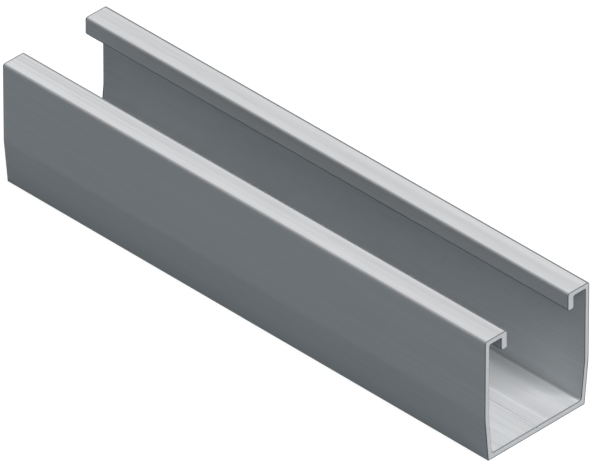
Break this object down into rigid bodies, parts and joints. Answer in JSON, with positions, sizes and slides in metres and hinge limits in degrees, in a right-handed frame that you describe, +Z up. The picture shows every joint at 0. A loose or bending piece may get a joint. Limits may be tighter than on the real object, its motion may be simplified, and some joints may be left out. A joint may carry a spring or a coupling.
{
  "type": "aluminium trapezoidal profile",
  "caption": "Short straight length of extruded aluminium channel with an open hooked slot along its top and side walls that lean in towards a narrower flat base.",
  "frame": {"origin": "centre of the base's underside, midway along the length", "axes": "+X along the length, +Y across the width, +Z up from the base towards the open slot"},
  "size_m": [0.1854, 0.04, 0.04],
  "materials": {
    "mill_aluminium": "mill finish, with fine die lines along its length and sawn ends"
  },
  "bodies": {
    "root": {"trapezoidal_profile": "mill_aluminium"}
  },
  "joints": []
}
